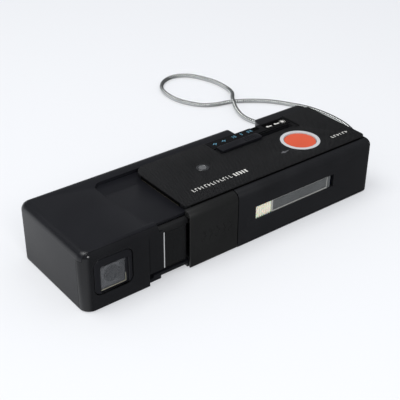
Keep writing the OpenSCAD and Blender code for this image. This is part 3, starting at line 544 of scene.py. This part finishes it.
def stroke_row(x0, x1, y, height, count, width):
    """Thin upright and level strokes in a row, standing for a printed line without being letters."""
    pitch = (x1 - x0) / count
    reach = 0.62 * pitch
    rects = []
    for i in range(count):
        x = x0 + i * pitch
        rects.append((x, y, x + width, y + height))
        level = y + (0, height - width, (height - width) / 2)[i % 3]
        if i % 4 != 3:
            rects.append((x + width, level, x + reach, level + width))
    return rects


SEGMENTS = {"1": "bc", "2": "abged", "3": "abgcd", "4": "fgbc", "5": "afgcd", "8": "abcdefg"}


def digit(char, x, y, w, h, t):
    """Rectangles of a plain segment digit, w wide and h high in strokes of t."""
    spots = {
        "a": (x, y + h - t, x + w, y + h), "d": (x, y, x + w, y + t),
        "g": (x, y + (h - t) / 2, x + w, y + (h + t) / 2),
        "f": (x, y + h / 2, x + t, y + h), "e": (x, y, x + t, y + h / 2),
        "b": (x + w - t, y + h / 2, x + w, y + h), "c": (x + w - t, y, x + w, y + h / 2),
    }
    return [spots[s] for s in SEGMENTS[char]]


def make_prints():
    """Plain prints: rows of strokes and an arrow on the plate, a scale, and weather symbols."""
    thin = stroke_row(65.8, 89.0, 12.4, 2.3, 13, 0.34)
    bold = stroke_row(89.9, 98.2, 12.2, 2.6, 5, 0.8)
    right = stroke_row(153.2, 164.8, 12.5, 1.8, 6, 0.42)
    piece("plate_print", "print_white", "body", flat_boxes(thin + bold + right, PLATE_TOP))
    bm = bmesh.new()
    add_prism(bm, [(121.4, 16.1), (124.0, 14.9), (124.0, 17.3)], PLATE_TOP, PLATE_TOP + INK)
    add_box(bm, (124.0, 15.75, PLATE_TOP), (126.3, 16.45, PLATE_TOP + INK))
    new_object("arrow_print", bm, "print_gray", "body", smooth=False)
    # distance scale and flash symbols in blue
    rects = []
    for char, x in (("1", 113.2), ("5", 115.0), ("3", 119.2), ("5", 123.6), ("2", 125.4)):
        rects += digit(char, x, 42.9, 1.15, 1.9, 0.32)
    bm = bmesh.new()
    for low, high in flat_boxes(rects, SCALE_TOP):
        add_box(bm, low, high)
    for x in (101.0, 106.6):
        add_prism(bm, [(x, 43.3), (x + 1.7, 43.5), (x + 1.4, 42.3), (x + 3.0, 43.9), (x + 1.5, 43.7),
                       (x + 1.7, 44.7)], SCALE_TOP, SCALE_TOP + INK)
    new_object("scale_print", bm, "print_blue", "body", smooth=False)
    # weather symbols on the dark field behind the slot
    bm = bmesh.new()
    z0, z1 = FIELD + INK, FIELD + 2 * INK
    sun_x, sun_y = 146.6, 42.6
    for x, r in ((136.4, 0.75), (141.6, 0.75), (sun_x, 0.95)):
        add_prism(bm, arc(x, sun_y, r, 0, 330, 11), z0, z1)
    rays = 8
    for k in range(rays):
        a = 2 * math.pi * k / rays
        c, s = math.cos(a), math.sin(a)
        corners = ((1.2, 0.13), (1.2, -0.13), (1.75, -0.13), (1.75, 0.13))
        add_prism(bm, [(sun_x + u * c - v * s, sun_y + u * s + v * c) for u, v in corners], z0, z1)
    for x in (137.6, 142.7):
        add_prism(bm, rounded(x - 0.6, 41.9, x + 1.5, 42.8, 0.4, 3), z0, z1)
    new_object("weather_print", bm, "print_white", "body", smooth=False)


def make_fields_and_slot_shade():
    """Dark surfaces: the field behind the slider's symbols, and painted shade, a near-black sheet
    deep under the slider's slot.
    """
    fields = flat_boxes([(134.03, 40.63, 148.97, 45.37), (127.43, 42.63, 131.17, 46.35)], FIELD, INK)
    # painted shade: this near-black box deep in the body stands for the shade inside the slider's
    # slot
    slot_shade_sheet = [((103.0, 34.5, 22.9), (149.0, 38.9, 23.2))]
    piece("fields_and_slot_shade", "black_field_and_gap_shade", "body", fields + slot_shade_sheet)


def make_flash():
    """Ribbed gray lens inside the flash window's pale frame, and its pale end strip."""
    bm = bmesh.new()
    add_box(bm, (103.35, 0.75, 12.25), (138.65, 0.9, 17.75))
    add_box(bm, (139.0, 0.55, 11.65), (140.9, 0.61, 18.35))
    x0, x1, y, count = 103.5, 138.5, 0.75, 58
    pitch = (x1 - x0) / count
    for i in range(count):
        x = x0 + pitch * i
        add_prism(bm, [(x, y), (x + 0.3, y - 0.13), (x + 0.6, y)], 12.3, 17.7)
    new_object("flash_lens", bm, "flash_gray", "body")


def make_lines():
    """Narrow lines: a painted highlight under the plate's left edge, a painted glint along the
    finder glass's lower and right edges with a black frame round the glass, and painted shade in the
    gaps between parts.
    """
    # painted highlight: a warm pale line under the top plate's left edge stands for light caught on
    # its underside
    piece("plate_edge_highlight", "warm_highlight", "body", [((55.3, 10.0, 27.94), (55.7, 38.5, 28.1))])
    # painted highlight: pale strips along the lower and right edges of the finder glass stand for
    # light caught in the glass's edges
    piece("glass_glint_line", "glass_glint", "housing",
          [((8.4, 0.95, 8.35), (20.9, 1.17, 8.65)), ((20.75, 0.95, 8.65), (20.95, 1.17, 12.5))])
    piece("glass_frame", "black_plastic", "housing",
          [((8.3, 0.9, 7.75), (22.1, 1.18, 8.35)), ((20.95, 0.9, 8.35), (22.1, 1.18, 20.55))])
    # painted shade: near-black sheets fill the gap between the shutter cover and the body shell, and
    # the gaps along the top plate's front and left edges
    piece("gap_shade", "black_field_and_gap_shade", "body", [
        ((81.42, 0.45, 1.8), (81.98, 1.95, 26.6)), ((81.42, 1.5, 26.6), (81.98, 4.2, 28.5)),
        ((83.0, 4.35, 28.12), (167.0, 4.75, 28.6)),
        ((58.0, 4.68, 28.15), (164.5, 4.78, 29.7)),
        ((55.3, 9.0, 28.15), (55.38, 39.0, 29.7))])
    # painted shade: near-black sheets fill the joint gap and the slot at the left end, and the gap
    # round the finder bezel
    piece("panel_gap_shade", "black_field_and_gap_shade", "housing", [
        ((0.12, 5.21, 1.8), (1.9, 5.39, 25.5)), ((0.3, 50.82, 2.92), (0.75, 51.68, 5.08)),
        ((4.93, 0.5, 10.5), (5.32, 1.19, 21.5)), ((23.88, 0.5, 10.5), (24.27, 1.19, 21.5)),
        ((8.5, 0.5, 24.48), (20.7, 1.19, 24.87)), ((8.5, 0.5, 7.03), (20.7, 1.19, 7.42))])


make_button()
make_lamp()
make_prints()
make_fields_and_slot_shade()
make_flash()
make_lines()

# ------------------------------------------------------------------ stage: floor, world, lights


def make_floor():
    """A matt white surface, left out of the object's own reflections."""
    bm = bmesh.new()
    bmesh.ops.create_grid(bm, x_segments=1, y_segments=1, size=4.0)
    data = bpy.data.meshes.new("floor")
    bm.to_mesh(data)
    bm.free()
    floor = bpy.data.objects.new("floor", data)
    collection.objects.link(floor)
    made, _tree, shader = principled("floor")
    shader.inputs["Base Color"].default_value = (0.42, 0.425, 0.43, 1)
    shader.inputs["Emission Color"].default_value = (0.965, 0.975, 1.0, 1)
    shader.inputs["Emission Strength"].default_value = 0.40
    shader.inputs["Roughness"].default_value = 0.9
    shader.inputs["Specular IOR Level"].default_value = 0.1
    data.materials.append(made)
    floor.location.z = -0.05 * MM
    floor.visible_glossy = False


def add_light(name, place, size, power):
    """A round area light that points at the object."""
    data = bpy.data.lights.new(name, "AREA")
    data.shape = "DISK"
    data.size = size
    data.energy = power
    lamp = bpy.data.objects.new(name, data)
    collection.objects.link(lamp)
    lamp.location = place
    lamp.rotation_mode = "QUATERNION"
    lamp.rotation_quaternion = (-Vector(place)).to_track_quat("-Z", "Y")


def make_world():
    """Pale surroundings. Reflections see a bright left side and back near the horizon."""
    world = bpy.data.worlds.new("studio")
    bpy.context.scene.world = world
    world.use_nodes = True
    tree = world.node_tree
    background = tree.nodes["Background"]
    background.inputs["Color"].default_value = (0.93, 0.95, 1.0, 1)
    background.inputs["Strength"].default_value = 0.9
    seen = tree.nodes.new("ShaderNodeBackground")
    direction = tree.nodes.new("ShaderNodeTexCoord")
    split = tree.nodes.new("ShaderNodeSeparateXYZ")
    tree.links.new(direction.outputs["Generated"], split.inputs["Vector"])
    # brightness by direction: bright at the left and the back, only near the horizon
    low_only = tree.nodes.new("ShaderNodeMapRange")
    low_only.interpolation_type = "SMOOTHSTEP"
    low_only.inputs["From Min"].default_value = 0.26
    low_only.inputs["From Max"].default_value = 0.0
    tree.links.new(split.outputs["Z"], low_only.inputs["Value"])
    total = None
    for channel, low, high, value in (("X", 0.0, -0.6, 0.70), ("Y", 0.62, 1.0, 0.75)):
        part = tree.nodes.new("ShaderNodeMapRange")
        part.interpolation_type = "SMOOTHSTEP"
        part.inputs["From Min"].default_value = low
        part.inputs["From Max"].default_value = high
        part.inputs["To Max"].default_value = value
        tree.links.new(split.outputs[channel], part.inputs["Value"])
        if total is None:
            total = part.outputs["Result"]
        else:
            add = tree.nodes.new("ShaderNodeMath")
            tree.links.new(total, add.inputs[0])
            tree.links.new(part.outputs["Result"], add.inputs[1])
            total = add.outputs["Value"]
    dimmed = tree.nodes.new("ShaderNodeMath")
    dimmed.operation = "MULTIPLY"
    tree.links.new(total, dimmed.inputs[0])
    tree.links.new(low_only.outputs["Result"], dimmed.inputs[1])
    base = tree.nodes.new("ShaderNodeMath")
    base.inputs[1].default_value = 0.10
    tree.links.new(dimmed.outputs["Value"], base.inputs[0])
    seen.inputs["Color"].default_value = (0.95, 0.97, 1.0, 1)
    tree.links.new(base.outputs["Value"], seen.inputs["Strength"])
    path = tree.nodes.new("ShaderNodeLightPath")
    mix = tree.nodes.new("ShaderNodeMixShader")
    tree.links.new(path.outputs["Is Glossy Ray"], mix.inputs["Fac"])
    tree.links.new(background.outputs["Background"], mix.inputs[1])
    tree.links.new(seen.outputs["Background"], mix.inputs[2])
    tree.links.new(mix.outputs["Shader"], tree.nodes["World Output"].inputs["Surface"])


make_floor()
make_world()
add_light("key", (-0.25, 0.10, 0.75), 0.45, 2.6)
add_light("fill", (-0.18, -0.50, 0.38), 0.20, 1.0)

scene = bpy.context.scene
scene.view_settings.view_transform = "Standard"
scene.view_settings.look = "None"
scene.cycles.use_denoising = True
